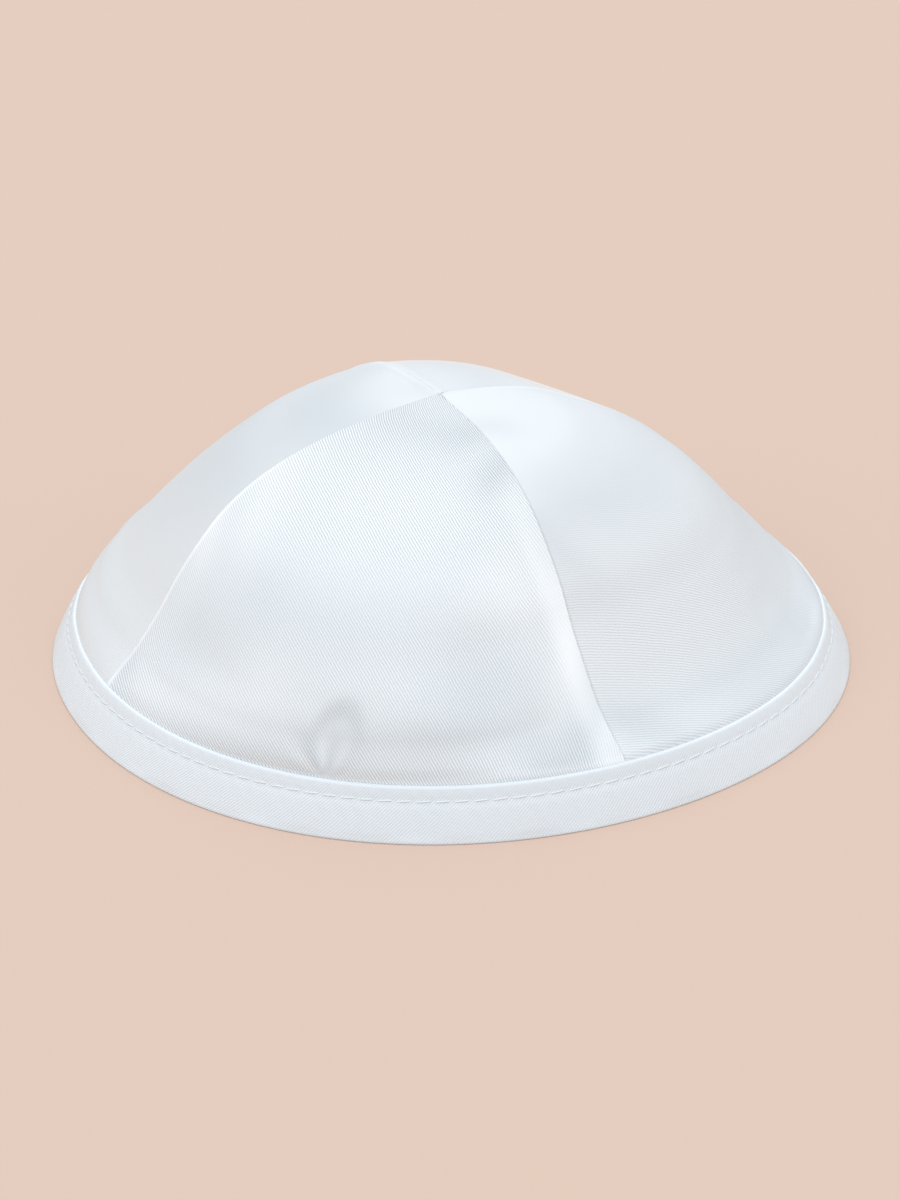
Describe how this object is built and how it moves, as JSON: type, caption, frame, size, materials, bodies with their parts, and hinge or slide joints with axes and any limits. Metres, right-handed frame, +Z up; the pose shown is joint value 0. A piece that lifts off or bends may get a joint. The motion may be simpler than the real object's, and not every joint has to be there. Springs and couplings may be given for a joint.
{
  "type": "kippah skullcap",
  "caption": "White satin kippah: a shallow dome of sewn panels with pinched darts, closed at the rim by a folded, stitched binding.",
  "frame": {"origin": "middle of the cap's box, on the surface that the rim rests on", "axes": "+Z up through the peak, -Y towards the front panel, +X to the right seen from the front"},
  "size_m": [0.1724, 0.1672, 0.0592],
  "materials": {
    "satin": "white satin, smooth side out, soft sheen and a fine slanting weave",
    "binding": "white satin bias tape, folded over the edge and sewn with one line of stitches"
  },
  "bodies": {
    "root": {"panel_front": "satin", "panel_right": "satin", "panel_back": "satin", "panel_left": "satin", "rim_binding": "binding"}
  },
  "joints": []
}
